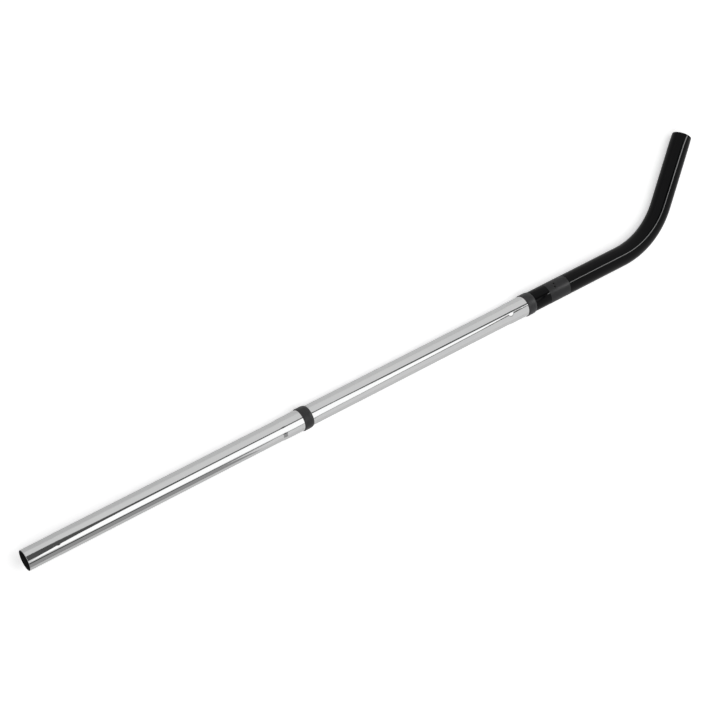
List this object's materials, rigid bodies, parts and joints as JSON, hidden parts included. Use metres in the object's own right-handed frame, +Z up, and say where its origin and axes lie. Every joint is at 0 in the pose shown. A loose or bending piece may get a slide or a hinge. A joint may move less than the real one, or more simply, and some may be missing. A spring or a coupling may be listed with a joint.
{
  "type": "vacuum cleaner wand",
  "caption": "Sectional vacuum wand: chromed tubes pushed together through plastic collars, with a bent plastic handle tube and a turning suction regulator ring.",
  "frame": {"origin": "centre of the wand's open lower end, on the axis of the straight tubes", "axes": "+X along the straight tubes towards the handle, +Y the way the handle bends, +Z up from the surface that the wand lies on"},
  "size_m": [1.2904, 0.162, 0.0356],
  "materials": {
    "chromed_tube": "bright chrome plate",
    "collar_plastic": "charcoal, slightly streaky satin",
    "handle_plastic": "black gloss",
    "ring_plastic": "dark grey satin"
  },
  "bodies": {
    "handle": {"handle_tube": "handle_plastic"},
    "regulator": {"regulator_ring": "ring_plastic"},
    "upper_section": {"upper_tube": "chromed_tube", "upper_collar": "collar_plastic"},
    "lower_section": {"lower_tube": "chromed_tube", "lower_collar": "collar_plastic"}
  },
  "joints": [
    {"name": "regulator_turn", "type": "hinge", "parent": "handle", "child": "regulator", "pos_m": [0.9445, 0, 0], "axis": [1, 0, 0], "continuous": true},
    {"name": "upper_pull", "type": "slide", "parent": "handle", "child": "upper_section", "axis": [-1, 0, 0], "range_m": [0, 0.06]},
    {"name": "lower_pull", "type": "slide", "parent": "upper_section", "child": "lower_section", "axis": [-1, 0, 0], "range_m": [0, 0.06]}
  ]
}
